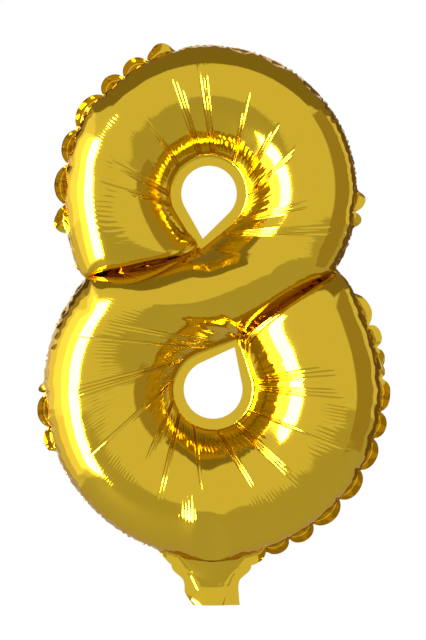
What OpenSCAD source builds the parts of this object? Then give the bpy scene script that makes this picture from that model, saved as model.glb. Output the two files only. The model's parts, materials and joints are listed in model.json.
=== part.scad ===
// Number eight foil balloon: two foil panels welded into one S-shaped chamber,
// a fill tail below it and a flat film valve running up through the neck.
// Millimetres, +Z up, front towards -Y, origin at the neck on the fold line.

/* [Rings] */
// Radius of the upper ring, to the edge of its seam
upper_r = 97.5; // [90:0.5:112]
// Radius of the lower ring, to the edge of its seam
lower_r = 110.5; // [98:0.5:126]
// Height between the centres of the two rings
ring_gap = 120; // [110:1:132]
// Sideways shift of the upper ring from the middle
upper_shift = -1.5; // [-6:0.5:6]

/* [Eyes] */
// Radius of the upper hole
upper_eye_r = 17; // [13:0.5:21]
// Radius of the lower hole
lower_eye_r = 18; // [14:0.5:22]
// How far each hole's point reaches past its round edge
eye_tip = 11; // [6:0.5:14]
// Direction of the upper hole's point, from the right
upper_tip_angle = 262; // [252:1:270]
// Direction of the lower hole's point, from the right
lower_tip_angle = 63; // [54:1:72]

/* [Chamber] */
// Height of the upper ring above the seam plane, one side
upper_h = 31; // [20:0.5:38]
// Height of the slanted stroke above the seam plane, one side
middle_h = 30; // [20:0.5:36]
// Height of the lower ring above the seam plane, one side
lower_h = 35; // [24:0.5:42]
// Width of the welded seam along every edge
seam_w = 6.5; // [4:0.5:9]
// Width of the weld between two strokes
weld_w = 3; // [2:0.5:5]
// Length over which a closed end of the chamber rises
end_rise = 30; // [15:1:45]

/* [Film] */
// Thickness of the foil
foil_t = 0.06; // [0.05:0.01:0.2]
// Thickness of each valve film
film_t = 0.05; // [0.04:0.01:0.15]

/* [Tail and valve] */
// Width of the neck and the tail
tail_w = 33; // [28:0.5:42]
// Length of the tail below the fold line
tail_l = 20; // [14:0.5:34]
// Width of the valve films
valve_w = 24; // [18:0.5:26]
// Length of the valve films above the fold line
valve_l = 62; // [40:1:80]
// Opening between the two lips at the mouth
mouth = 6.6; // [6:0.1:9]
// Room left each side of the fold line
fold_gap = 0.4; // [0.35:0.05:0.8]
// Height of the channel that the valve runs through
channel_h = 0.25; // [0.2:0.05:0.6]

/* [Hidden] */

// Ring centres in [x, z]; the lower ring's edge hangs just above the fold line
c2 = [1, lower_r + 2];
c1 = [upper_shift, c2[1] + ring_gap];
// Rounding of the chamber: steps across a stroke, and stations along each part
cols = 14;
hook_n = 38;
side_n = 19;
// Neck stations, measured sideways from the middle of the tail
ch_x = valve_w / 2 + 0.25;
nk_x = tail_w / 2;
neck_x = [-nk_x - 1.2, -nk_x, -ch_x - 1, -ch_x, -ch_x / 2, 0,
          ch_x / 2, ch_x, ch_x + 1, nk_x, nk_x + 1.2];

function dir(a) = [cos(a), sin(a)];
function mix(p, q, t) = p + (q - p) * t;
// Where two circles about p and q cross; side is 1 for the left one, -1 for the right
function crossing(p, rp, q, rq, side) =
    let (d = norm(q - p), u = (q - p) / d, a = (d * d + rp * rp - rq * rq) / (2 * d),
         h = sqrt(rp * rp - a * a))
    p + u * a + [-u[1], u[0]] * h * side;
// Drop-shaped edge: a circle of radius r with two tangents meeting d out at angle tip
function drop_r(a, r, d, tip) =
    let (off = abs(((a - tip) % 360 + 540) % 360 - 180), b = acos(r / d))
    off < b ? r / cos(b - off) : r;
function drop(c, a, r, tip) = c + dir(a) * drop_r(a, r, r + eye_tip, tip);

// The two notches, at the seam line and at the seam's edge
notch_l = crossing(c2, lower_r - seam_w, c1, upper_r - seam_w, 1);
notch_r = crossing(c2, lower_r - seam_w, c1, upper_r - seam_w, -1);
notch_l_edge = crossing(c2, lower_r, c1, upper_r, 1);
notch_r_edge = crossing(c2, lower_r, c1, upper_r, -1);
function bearing(c, p) = atan2(p[1] - c[1], p[0] - c[0]);
up_a0 = bearing(c1, notch_l) + 360;
up_a1 = bearing(c1, notch_r);
lo_a0 = bearing(c2, notch_l);
lo_a1 = bearing(c2, notch_r) + 360;

// Place across a stroke of column j, from 0 at the first edge to 1 at the second
function across(j) = (1 - cos(180 * j / cols)) / 2;
// Weld lines between strokes; j runs from the seam's edge (-1) to its far edge (cols + 1)
up_tip = drop(c1, upper_tip_angle, upper_eye_r + seam_w, upper_tip_angle);
up_tip_edge = drop(c1, upper_tip_angle, upper_eye_r, upper_tip_angle);
lo_tip = drop(c2, lower_tip_angle, lower_eye_r + seam_w, lower_tip_angle);
lo_tip_edge = drop(c2, lower_tip_angle, lower_eye_r, lower_tip_angle);
function weld_l(j) = j < 0 ? up_tip_edge : j > cols ? notch_l_edge
    : mix(up_tip, notch_l, across(j));
function weld_r(j) = j < 0 ? notch_r_edge : j > cols ? lo_tip_edge
    : mix(notch_r, lo_tip, across(j));
// Sideways steps off the two weld lines, into the slanted stroke
function left_of(p, q) = let (u = (q - p) / norm(q - p)) [-u[1], u[0]];
off_l = left_of(up_tip, notch_l) * weld_w / 2;
off_r = left_of(lo_tip, notch_r) * -weld_w / 2;

// Each station is [edge 1, seam 1, seam 2, edge 2, height, lift of edge 1]
function rise(u) = u >= 1 ? 1 : u <= 0 ? 0 : sqrt(1 - (1 - u) * (1 - u));
// Upper ring, clockwise from the left weld round the eye to the right notch
hook_e = [up_tip_edge, up_tip, notch_l, notch_l_edge, 0, 0];
hook = [for (i = [0:hook_n - 1])
    let (u = (i + 0.25) / hook_n, a = upper_tip_angle - 360 * u,
         b = mix(up_a0, up_a1, u), s = u * 3.2 * (upper_r - 37))
    [drop(c1, a, upper_eye_r, upper_tip_angle),
     drop(c1, a, upper_eye_r + seam_w, upper_tip_angle),
     c1 + dir(b) * (upper_r - seam_w), c1 + dir(b) * upper_r,
     i == 0 ? 0 : upper_h * rise(s / end_rise), 0]];
// Slanted stroke, between the two weld lines
slant = [for (k = [-1:cols + 1])
    let (t = (k + 1) / (cols + 2),
         h = t < 0.5 ? mix(upper_h, middle_h, 2 * t) : mix(middle_h, lower_h, 2 * t - 1))
    [weld_l(k), k < 0 ? drop(c1, upper_tip_angle + 4, upper_eye_r + seam_w + 0.5, upper_tip_angle)
        : k > cols ? c2 + dir(lo_a0 + 2.2) * (lower_r - seam_w) : weld_l(k) + off_l,
     k > cols ? drop(c2, lower_tip_angle + 4, lower_eye_r + seam_w + 0.5, lower_tip_angle)
        : k < 0 ? c1 + dir(up_a1 + 2.2) * (upper_r - seam_w) : weld_r(k) + off_r,
     weld_r(k), h, 0]];
// Lower ring, anticlockwise from the left notch past the neck to the right weld
neck_a = [for (x = neck_x) 270 + asin((x - c2[0]) / (lower_r - seam_w))];
lower_a = concat([for (i = [1:side_n]) mix(lo_a0, neck_a[0], i / (side_n + 1))], neck_a,
    [for (i = [1:side_n]) mix(neck_a[10], lo_a1, (i - 0.25) / side_n)]);
function is_neck(i) = i >= side_n + 1 && i <= side_n + 9;
function lower_edge(i, b) = is_neck(i) ? [neck_x[i - side_n], fold_gap] : c2 + dir(b) * lower_r;
function lower_seam(i, b) = let (p = c2 + dir(b) * (lower_r - seam_w))
    is_neck(i) ? [neck_x[i - side_n], p[1]] : p;
lower_n = len(lower_a);
lower = [for (i = [0:lower_n - 1])
    let (b = lower_a[i], v = (b - lo_a0) / (lo_a1 - lo_a0), a = lower_tip_angle + 360 * v,
         s = (1 - v) * 3.2 * (lower_r - 39))
    [lower_edge(i, b), lower_seam(i, b),
     drop(c2, a, lower_eye_r + seam_w, lower_tip_angle),
     drop(c2, a, lower_eye_r, lower_tip_angle),
     i == lower_n - 1 ? 0 : lower_h * rise(s / end_rise),
     i >= side_n + 3 && i <= side_n + 7 ? channel_h : 0]];
lower_e = [notch_r_edge, notch_r, lo_tip, lo_tip_edge, 0, 0];

run = concat([hook_e], hook, slant, lower, [lower_e]);
rows = len(run);
wide = cols + 3;
slant_0 = hook_n + 1;
slant_1 = slant_0 + cols + 2;

// Grid point of station i and column j, on the outer face (skin 0) or inner face (skin 1)
function grid_point(i, j, skin) =
    let (s = run[i], w = norm(s[2] - s[1]) / 2,
         k = skin == 0 ? 1 : s[4] > 0 ? (w - foil_t) / w : 1,
         m = (s[1] + s[2]) / 2, half = (s[2] - s[1]) / 2 * k, a = 180 * (j - 1) / cols,
         p = j == 0 ? s[0] : j == wide - 1 ? s[3] : m - half * cos(a),
         lift = j <= 1 ? s[5] : 0,
         y = j == 0 || j == wide - 1 ? 0 : max(s[4] - foil_t, 0) * sin(a))
    [p[0], -(y + lift + (skin == 0 ? foil_t : 0)), p[1]];
// Stations and columns that meet on a weld line are the same points
function at(i, j) =
    i > slant_0 - 1 && i < slant_1 + 1 && j == 0 ? i - slant_0
    : i > slant_0 - 1 && i < slant_1 + 1 && j == wide - 1 ? (rows - 1) * wide + i - slant_0
    : i * wide + j;
skin_n = rows * wide;

function quad(a, b, c, d) = [[a, b, c], [a, c, d]];
panel_points = [for (k = [0:1], i = [0:rows - 1], j = [0:wide - 1]) grid_point(i, j, k)];
panel_faces = concat(
    [for (i = [0:rows - 2], j = [0:wide - 2])
        each quad(at(i, j), at(i, j + 1), at(i + 1, j + 1), at(i + 1, j))],
    [for (i = [0:rows - 2], j = [0:wide - 2])
        each quad(skin_n + at(i, j), skin_n + at(i + 1, j),
                  skin_n + at(i + 1, j + 1), skin_n + at(i, j + 1))],
    [for (i = [0:rows - 2]) if (i < slant_0 || i >= slant_1)
        each quad(at(i, 0), at(i + 1, 0), skin_n + at(i + 1, 0), skin_n + at(i, 0))],
    [for (i = [0:rows - 2], j = wide - 1) if (i < slant_0 || i >= slant_1)
        each quad(at(i + 1, j), at(i, j), skin_n + at(i, j), skin_n + at(i + 1, j))]);

// One foil panel on the front side of the seam plane
module panel() {
    polyhedron(points = panel_points, faces = panel_faces, convexity = 6);
}

// Closed sheet over a grid of outer points and inner points, na by nb
module sheet(outer, inner, na, nb) {
    n = na * nb;
    polyhedron(points = concat(outer, inner), convexity = 4, faces = concat(
        [for (i = [0:na - 2], j = [0:nb - 2]) let (a = i * nb + j)
            each quad(a, a + 1, a + nb + 1, a + nb)],
        [for (i = [0:na - 2], j = [0:nb - 2]) let (a = n + i * nb + j)
            each quad(a, a + nb, a + nb + 1, a + 1)],
        [for (i = [0:na - 2]) let (a = i * nb, b = a + nb) each quad(a, b, n + b, n + a)],
        [for (i = [0:na - 2]) let (a = i * nb + nb - 1, b = a + nb) each quad(b, a, n + a, n + b)],
        [for (j = [0:nb - 2]) each quad(j + 1, j, n + j, n + j + 1)],
        [for (j = [0:nb - 2]) let (a = (na - 1) * nb + j) each quad(a, a + 1, n + a + 1, n + a)]));
}

// Bulge of a flat film tube held open: full at the middle, none at its side w
function bulge(x, w) = max(0, 1 - (x / w) * (x / w));
leaf_x = concat([-nk_x, -ch_x - 1], [for (i = [-8:8]) ch_x * i / 8], [ch_x + 1, nk_x]);
lip_x = [for (i = [-8:8]) valve_w / 2 * i / 8];
tail_t = [for (j = [0:8]) j / 8];

// One leaf of the tail, on the front side
module leaf() {
    open = mouth / 2 + 0.4 - channel_h;
    function y(x, t) = abs(x) > ch_x + 0.01 ? 0 : channel_h + open * t * t * bulge(x, ch_x);
    function p(x, t, d) = [x, -(y(x, t) + d), -fold_gap - (tail_l - fold_gap) * t];
    sheet([for (t = tail_t, x = leaf_x) p(x, t, foil_t)], [for (t = tail_t, x = leaf_x) p(x, t, 0)],
          len(tail_t), len(leaf_x));
}

// One lip of the valve, inside the leaf on the front side
module lip() {
    len_l = tail_l - 1;
    function y(x, t) = mouth / 2 * t * t * bulge(x, valve_w / 2);
    function p(x, t, d) = [x, -(y(x, t) + d), -fold_gap - (len_l - fold_gap) * t];
    sheet([for (t = tail_t, x = lip_x) p(x, t, film_t)], [for (t = tail_t, x = lip_x) p(x, t, 0)],
          len(tail_t), len(lip_x));
}

// One film of the valve above the fold line, with its inner end rounded at the corners
module film() {
    r = 4;
    translate([0, 0, fold_gap]) rotate([90, 0, 0]) linear_extrude(film_t) union() {
        translate([-valve_w / 2, 0]) square([valve_w, valve_l - fold_gap - r]);
        translate([-valve_w / 2 + r, 0]) square([valve_w - 2 * r, valve_l - fold_gap]);
        for (s = [-1, 1]) translate([s * (valve_w / 2 - r), valve_l - fold_gap - r])
            circle(r = r, $fn = 48);
    }
}

module front_panel() { color("#d9a520") panel(); }
module back_panel() { color("#c8961c") mirror([0, 1, 0]) panel(); }
module valve_front_film() { color("#e8e6dc") film(); }
module valve_back_film() { color("#dcdad0") mirror([0, 1, 0]) film(); }
module tail_front_leaf() { color("#d9a520") leaf(); }
module tail_back_leaf() { color("#c8961c") mirror([0, 1, 0]) leaf(); }
module valve_front_lip() { color("#e8e6dc") lip(); }
module valve_back_lip() { color("#dcdad0") mirror([0, 1, 0]) lip(); }

front_panel();
back_panel();
valve_front_film();
valve_back_film();
tail_front_leaf();
tail_back_leaf();
valve_front_lip();
valve_back_lip();
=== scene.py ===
"""Number eight foil balloon: its two foil panels are blown up from their flat cut
by a film simulation, and the film valve runs through the neck and the tail.
All lengths in the film code are millimetres; meshes are written in metres."""
import json
import math

import bpy
import numpy as np
from bpy.props import FloatProperty, FloatVectorProperty, IntProperty, PointerProperty
from bpy.types import Operator, Panel, PropertyGroup
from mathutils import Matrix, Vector


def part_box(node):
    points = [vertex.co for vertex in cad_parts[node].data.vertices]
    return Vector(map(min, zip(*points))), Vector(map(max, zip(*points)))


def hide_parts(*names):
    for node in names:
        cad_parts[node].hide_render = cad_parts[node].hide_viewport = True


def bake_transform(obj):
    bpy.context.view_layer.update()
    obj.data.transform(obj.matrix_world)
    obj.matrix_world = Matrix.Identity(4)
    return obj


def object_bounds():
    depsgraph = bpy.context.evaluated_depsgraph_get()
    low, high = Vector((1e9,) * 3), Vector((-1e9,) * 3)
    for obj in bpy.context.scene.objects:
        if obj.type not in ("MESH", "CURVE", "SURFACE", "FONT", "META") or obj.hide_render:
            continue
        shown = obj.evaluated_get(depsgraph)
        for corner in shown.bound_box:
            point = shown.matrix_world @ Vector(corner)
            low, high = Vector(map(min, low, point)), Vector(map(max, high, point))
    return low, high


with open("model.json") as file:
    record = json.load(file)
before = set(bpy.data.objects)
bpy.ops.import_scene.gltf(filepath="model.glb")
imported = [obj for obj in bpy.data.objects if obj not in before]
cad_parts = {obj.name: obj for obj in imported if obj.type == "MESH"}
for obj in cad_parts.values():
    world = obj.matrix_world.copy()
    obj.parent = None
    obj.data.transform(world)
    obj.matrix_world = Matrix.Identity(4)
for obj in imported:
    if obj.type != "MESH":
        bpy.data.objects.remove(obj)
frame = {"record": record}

bl_info = {
    "name": "Foil Number Balloon",
    "version": (1, 0, 0),
    "blender": (4, 5, 0),
    "location": "View3D > Sidebar > Balloon",
    "description": "Builds an inflated figure-eight foil balloon on its CAD frame",
    "category": "Mesh",
}

CAD_BOX = [list(corner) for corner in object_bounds()]
MM = 1000.0
F32 = np.float32

# the coarsest grid: rows on the upper ring, the slant and the lower ring, columns in each
# seam, columns from seam to seam; the slant has two rows for each column of the rings' ends
COARSE = (150, 24, 168, 1, 12)
FINEST_ROWS = 4 * sum(COARSE[:3])
NECK_MARGIN = 7      # mm that the neck's opening reaches past each edge of the tail
PANEL_GAP = 0.06     # mm that each panel stands off the plane of the welds

# metres: the floor's distance below the figure, and its width and depth
FLOOR_DROP, FLOOR_SIZE = 0.62, 9
# metres from the figure's middle to each lamp, and the share of it that they sit lower
LAMP_DISTANCE, LAMP_DROP = 1.1, -0.05
VIEW_SHARE = 0.892   # share of the view's height that the figure fills
SENSOR = 36          # mm, height of the camera's sensor
# glowing boards that show only in reflections: place from the figure's middle, width and
# height in metres, tone
CARDS = (("right_card", (1.75, -0.15, 0.0), (1.5, 3.0), "#BCAE92"),
         ("right_back_card", (1.2, 1.7, 0.0), (1.5, 3.0), "#7A6B4B"),
         ("left_back_card", (-1.3, 1.6, 1.2), (1.9, 1.6), "#6B5B3E"),
         ("top_card", (0.0, 0.5, 1.5), (3.8, 2.6), "#9A8F72"))
# lamps: degrees from the front towards the left, width and height in metres, watts
LAMPS = (("softbox", 53, (0.42, 1.25), 50), ("spill", 64, (0.75, 1.35), 2.9),
         ("wide_spill", 80, (1.1, 1.5), 2.6), ("wall_glow", 100, (1.5, 1.9), 3.1))
# strength of the fine ripples by the share of the way across the stroke
RIPPLE_BAND = ((0.09, 0.25), (0.14, 0.8), (0.24, 0.1), (0.42, 0.12), (0.5, 0.4), (0.62, 0.3),
               (0.7, 0.03))


def mount(name):
    """Place (x, z) and radius of a hole, in mm, from the record."""
    m = next(m for m in frame["record"]["mounts"] if m["name"] == name)
    return np.array([m["pos_m"][0], m["pos_m"][2]]) * MM, m["dims"].get("r_mm", 0.0)


UPPER_EYE, UPPER_EYE_R = mount("upper_hole")
LOWER_EYE, LOWER_EYE_R = mount("lower_hole")
PANEL_LOW, PANEL_HIGH = (np.array(c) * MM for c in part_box("front_panel"))
TAIL_LOW, TAIL_HIGH = (np.array(c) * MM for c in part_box("tail_front_leaf"))
LIP_LOW, LIP_HIGH = (np.array(c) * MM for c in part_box("valve_front_lip"))
_, FILM_HIGH = (np.array(c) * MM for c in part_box("valve_front_film"))
LOWER_R = (PANEL_HIGH[0] - PANEL_LOW[0]) / 2
UPPER_R = PANEL_HIGH[2] - UPPER_EYE[1]
TAIL_HALF = TAIL_HIGH[0]


# ---------------------------------------------------------------- colour and nodes

def linear(hex_colour):
    """Linear RGBA of an sRGB hex colour: below 0.04045 a straight line, above it a 2.4 power."""
    c = np.array([int(hex_colour[i:i + 2], 16) for i in (1, 3, 5)]) / 255.0
    rgb = np.where(c <= 0.04045, c / 12.92, ((c + 0.055) / 1.055) ** 2.4)
    return (*[float(x) for x in rgb], 1.0)


def add_node(tree, kind, settings=None, links=None):
    """Adds a node: settings are properties or input defaults, links come from other sockets."""
    node = tree.nodes.new(kind)
    for key, value in (settings or {}).items():
        if isinstance(key, str) and hasattr(node, key):
            setattr(node, key, value)
        else:
            node.inputs[key].default_value = value
    for key, socket in (links or {}).items():
        tree.links.new(socket, node.inputs[key])
    return node


def new_material(name):
    """New material with a Principled shader: the material, its node tree and the shader."""
    material = bpy.data.materials.new(name)
    material.use_nodes = True
    tree = material.node_tree
    tree.nodes.clear()
    shader = add_node(tree, "ShaderNodeBsdfPrincipled")
    add_node(tree, "ShaderNodeOutputMaterial", links={"Surface": shader.outputs[0]})
    return material, tree, shader


# ---------------------------------------------------------------- cut of the film

def heading(angle):
    """Unit vector at an angle in degrees, from the right."""
    a = np.radians(angle)
    return np.stack([np.cos(a), np.sin(a)], -1)


def bearing(centre, point):
    """Direction from centre to point in degrees, the arctangent of rise over run."""
    return math.degrees(math.atan2(point[1] - centre[1], point[0] - centre[0]))


def crossing(p, rp, q, rq, side):
    """Where two circles meet: along their centre line to its radical point, then square off it."""
    d = np.linalg.norm(q - p)
    u = (q - p) / d
    a = (d * d + rp * rp - rq * rq) / (2 * d)
    return p + u * a + np.array([-u[1], u[0]]) * side * math.sqrt(rp * rp - a * a)


def drop_edge(centre, angle, radius, tip_angle, reach):
    """Drop-shaped hole: a circle, with its two tangents meeting reach beyond it at tip_angle."""
    off = np.abs((angle - tip_angle + 180) % 360 - 180)
    b = math.degrees(math.acos(radius / (radius + reach)))
    r = np.where(off < b, radius / np.cos(np.radians(b - off)), radius)
    return centre + heading(angle) * np.asarray(r)[..., None]


def bell(off, width, power=2):
    """1 where off is 0, fading out past width on both sides."""
    return np.exp(-(off / width) ** power)


def cell_areas(grid):
    """Area of each cell of a flat grid, by the cross product of its diagonals."""
    p, q = grid[1:, 1:] - grid[:-1, :-1], grid[:-1, 1:] - grid[1:, :-1]
    return 0.5 * np.abs(p[..., 0] * q[..., 1] - p[..., 1] * q[..., 0])


def run_along(points):
    """Distance of each point of a line [xyz, n] from its first."""
    return np.concatenate([[0], np.cumsum(np.linalg.norm(np.diff(points, axis=1), axis=0))])


class Cut:
    """Outline of the figure in one plane: two rings with drop-shaped eyes, and the S-shaped
    stroke that runs clockwise round the upper eye, down the slant and anticlockwise round
    the lower eye. A slanted weld joins each eye's tip to a notch."""

    def __init__(self, upper, upper_r, lower, lower_r, props):
        self.c = (np.asarray(upper, float), np.asarray(lower, float))
        self.r = (upper_r, lower_r)
        self.eye = (UPPER_EYE_R, LOWER_EYE_R)
        self.tip = (props.upper_tip, props.lower_tip)
        self.reach = props.tip_reach * MM
        self.seam = props.seam * MM
        inner = [r - self.seam for r in self.r]
        self.notch, self.notch_edge = (
            [crossing(self.c[1], r[1], self.c[0], r[0], side) for side in (1, -1)]
            for r in (inner, self.r))

    def eye_edge(self, which, angle, grow):
        return drop_edge(self.c[which], angle, self.eye[which] + grow, self.tip[which], self.reach)

    def lines(self, hook, slant, loop):
        """Stations along the stroke; each has an edge, a seam, the far seam and the far edge."""
        (c0, c1), (r0, r1) = self.c, self.r
        n0, n1 = self.notch
        u = np.linspace(0, 1, hook + 1)
        eye = self.tip[0] - 360 * u
        rim = bearing(c0, n0) % 360 + (bearing(c0, n1) - bearing(c0, n0) % 360) * u
        first = [self.eye_edge(0, eye, 0), self.eye_edge(0, eye, self.seam),
                 c0 + heading(rim) * (r0 - self.seam), c0 + heading(rim) * r0]
        u = np.linspace(0, 1, loop + 1)
        eye = self.tip[1] + 360 * u
        rim = bearing(c1, n0) + (bearing(c1, n1) + 360 - bearing(c1, n0)) * u
        last = [c1 + heading(rim) * r1, c1 + heading(rim) * (r1 - self.seam),
                self.eye_edge(1, eye, self.seam), self.eye_edge(1, eye, 0)]
        first[3][0], first[3][-1] = self.notch_edge
        last[0][0], last[0][-1] = self.notch_edge
        k = np.linspace(0, 1, slant + 1)[:, None]
        weld_l = first[1][0] + (n0 - first[1][0]) * k
        weld_r = n1 + (last[2][0] - n1) * k
        middle = [weld_l, weld_l, weld_r, weld_r]
        whole = [np.concatenate([a[:-1], m, b[1:]]) for a, m, b in zip(first, middle, last)]
        return whole, first, last

    def grid(self, hook, slant, loop, land, cols):
        """Flat film grid [rows, land + cols + land + 1, 2]: straight steps between the four lines."""
        (a, b, c, d), first, last = self.lines(hook, slant, loop)
        t = np.linspace(0, 1, land + 1)[None, :, None]
        s = np.linspace(0, 1, cols + 1)[None, :, None]
        mix = lambda p, q, w: p[:, None] + (q - p)[:, None] * w
        g = np.concatenate([mix(a, b, t[:, :-1]), mix(b, c, s), mix(c, d, t[:, 1:])], 1)
        # the welded rings run on across both ends of the slant
        for row, side, p, q in ((hook, 0, first[0][0], b[hook]), (hook, 1, c[hook], first[3][-1]),
                                (hook + slant, 0, last[0][0], b[hook + slant]),
                                (hook + slant, 1, c[hook + slant], last[3][0])):
            if side == 0:
                g[row, :land] = p + (q - p) * t[0, :-1]
            else:
                g[row, land + cols + 1:] = p + (q - p) * t[0, 1:]
        return g


# ---------------------------------------------------------------- film simulation

# where the rim lies loose: direction from the ring's centre in degrees, spread and strength
LOOSE_RIM = (((150, 50, 1.0), (-6, 9, 0.6)),
             ((-38, 48, 1.0), (190, 13, 0.9), (22, 20, 0.55)))


class Film:
    """Front and back film as one array [xyz, panel, row, column], in mm. Steps are positions
    carried on by their own speed, pushed along the normals by the gas, then pulled back to
    the flat film's lengths pair by pair. Shortening is resisted less than stretching, as thin
    film wrinkles instead of being squashed."""

    def __init__(self, flat, aim, counts):
        self.counts = counts
        hook, slant, loop, land, cols = counts
        self.h0, self.h1, self.cl, self.e = hook, hook + slant, land, land + cols
        self.flat = flat.grid(*counts).astype(F32)
        self.aim = aim.grid(*counts).astype(F32)
        rows, wide = self.flat.shape[:2]
        self.rows, self.wide = rows, wide
        self.cell = np.ones((rows - 1, wide - 1), bool)
        self.cell[self.h0:self.h1, :land] = False
        self.cell[self.h0:self.h1, self.e:] = False
        self.here = np.ones((rows, wide), bool)
        self.here[self.h0 + 1:self.h1, :land] = False
        self.here[self.h0 + 1:self.h1, self.e + 1:] = False
        self.loose = np.zeros((rows, wide), bool)
        self.loose[1:-1, land + 1:self.e] = True
        self.x = np.zeros((3, 2, rows, wide), F32)
        self.v = np.zeros_like(self.x)
        seam = self.aim[:, land]
        low = (np.abs(seam[:, 0]) <= TAIL_HALF + NECK_MARGIN) & (seam[:, 1] < LOWER_EYE[1] - LOWER_R * 0.8)
        self.neck = np.nonzero(low & (np.arange(rows) > self.h1))[0]
        self.sealed = ~self.loose
        self.sealed[self.neck, :land + 1] = False
        self.rim = self.rim_distance()
        start, across = self.aim[:, land], self.aim[:, land + cols] - self.aim[:, land]
        across = across / np.linalg.norm(across, axis=1)[:, None]
        self.slice_at = start[:, :1], start[:, 1:]
        self.slice_way = -across[:, 1:], across[:, :1]
        area = cell_areas(self.flat) * self.cell
        load = np.zeros((rows, wide))
        for a, b in ((0, 0), (0, 1), (1, 0), (1, 1)):
            load[a:rows - 1 + a, b:wide - 1 + b] += 0.25 * area
        self.load = (self.loose * np.minimum(load / load[self.loose].mean(), 2.5)).astype(F32)
        row = np.arange(rows)[:, None]
        self.slice_hold = np.clip((row / self.h0 - 0.12) / 0.38, 0, 1) * np.clip(
            ((rows - 1 - row) / (rows - 1 - self.h1) - 0.12) / 0.38, 0, 1)
        self.slice_hold = (self.slice_hold * self.loose).astype(F32)

    def rim_distance(self):
        """Flat distance of each point from the free outer rim's seam."""
        far = [np.linalg.norm(self.flat - self.flat[:, c:c + 1], axis=-1) for c in (self.cl, self.e)]
        d = np.full((self.rows, self.wide), 1e3)
        d[:self.h0 + 1] = far[1][:self.h0 + 1]
        d[self.h1:] = far[0][self.h1:]
        d[:, :self.cl + 1] = 0
        d[:, self.e:] = 0
        return d

    def across(self):
        """Share of the way across the stroke: 0 at the eye's seam and 1 at the rim's; on the
        slant it is 0 at both welds and 1 in the middle."""
        j = (np.arange(self.wide) - self.cl) / (self.e - self.cl)
        row = np.arange(self.rows)[:, None]
        ramp = 0.1 * (self.h1 - self.h0)
        k = np.clip((row - self.h0 + ramp) / (2 * ramp), 0, 1)
        m = np.clip((row - self.h1 + ramp) / (2 * ramp), 0, 1)
        return j * (1 - k) + (1 - np.abs(2 * j - 1)) * (k - m) + (1 - j) * m

    def mm_from(self, edge):
        """Flat distance of each point from the seam at column edge, along its row."""
        return np.linalg.norm(self.flat - self.flat[:, edge:edge + 1], axis=-1)

    def share_from(self, edge):
        """The same as a share of the row's width from seam to seam."""
        wide = np.linalg.norm(self.flat[:, self.e] - self.flat[:, self.cl], axis=-1)
        return self.mm_from(edge) / wide[:, None]

    def row_step(self):
        """Distance between rows, in mm, at every point, evened out along the stroke."""
        step = np.linalg.norm(np.gradient(self.flat, axis=0), axis=-1)
        return np.clip(step, 0.05, 4)

    def links(self, inner, outer, reach, strip_span):
        """Pairs to hold at flat length, in colours that share no point: neighbours along, across
        and on both diagonals, second neighbours as bending, and stiffer spans in the seams."""
        near = np.clip(1 - self.rim / reach, 0, 1)
        resist = inner + (outer - inner) * near * near * (3 - 2 * near)
        strip = np.zeros((self.rows, self.wide), bool)
        strip[:, :self.cl + 1] = True
        strip[:, self.e:] = True
        edge_i = np.zeros((self.rows - 1, self.wide), bool)
        edge_i[:, 1:] |= self.cell
        edge_i[:, :-1] |= self.cell
        edge_j = np.zeros((self.rows, self.wide - 1), bool)
        edge_j[1:] |= self.cell
        edge_j[:-1] |= self.cell
        kinds = [(1, 0, 1.0, False), (0, 1, 1.0, False), (1, 1, 0.5, False), (1, -1, 0.5, False),
                 (2, 0, 0.06, False), (0, 2, 0.3, False)]
        kinds += [(span, 0, 0.5, True) for span in strip_span]
        self.pairs = []
        for di, dj, stiff, strip_only in kinds:
            ja = slice(0, self.wide - dj) if dj >= 0 else slice(-dj, self.wide)
            jb = slice(dj, self.wide) if dj >= 0 else slice(0, self.wide + dj)
            ia, ib = slice(0, self.rows - di), slice(di, self.rows)
            length = np.linalg.norm(self.flat[ib, jb] - self.flat[ia, ja], axis=-1)
            real = self.here[ia, ja] & self.here[ib, jb] & (length > 1e-4)
            if di and dj:
                real &= self.cell
            elif di:
                for p in range(di):
                    real &= edge_i[p:p + self.rows - di]
            else:
                for q in range(dj):
                    real &= edge_j[:, q:q + self.wide - dj]
            if strip_only:
                real &= strip[ia, ja]
            short = resist[ia, ja] if di else np.maximum(resist[ia, ja], 0.5)
            if strip_only or (di, dj) == (2, 0):
                short = np.ones_like(short)
            pull = (0.5 * stiff * real).astype(F32)
            give = (pull * short).astype(F32)
            step = 2 * (di or dj)
            for c in range(step):
                if di:
                    own = slice(c, None, step), slice(None)
                    a = slice(c, self.rows - di, step), ja
                    b = slice(c + di, None, step), jb
                else:
                    own = slice(None), slice(c, None, step)
                    a = slice(None), slice(c, self.wide - dj, step)
                    b = slice(None), slice(c + dj, None, step)
                self.pairs.append((a, b, length.astype(F32)[own], pull[own], give[own]))

    def pull_back(self):
        """One pass over all pairs: each moves half of its length error along its own line."""
        for (ia, ja), (ib, jb), length, pull, give in self.pairs:
            a, b = self.x[:, :, ia, ja], self.x[:, :, ib, jb]
            d = b - a
            q = np.sqrt((d * d).sum(0)) + 1e-9
            e = (q - length) / q
            d *= np.where(e > 0, pull, give) * e
            a += d
            b -= d

    def normals(self):
        """Unit normals from the cross product of the steps along and across."""
        di = np.gradient(self.x, axis=2)
        dj = np.gradient(self.x, axis=3)
        n = np.stack([di[1] * dj[2] - di[2] * dj[1], di[2] * dj[0] - di[0] * dj[2],
                      di[0] * dj[1] - di[1] * dj[0]])
        n /= np.sqrt((n * n).sum(0)) + 1e-9
        front = -np.sign(np.median(n[1, 0][self.loose]))
        n[:, 0] *= front
        n[:, 1] *= -front
        return n.astype(F32)

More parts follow.
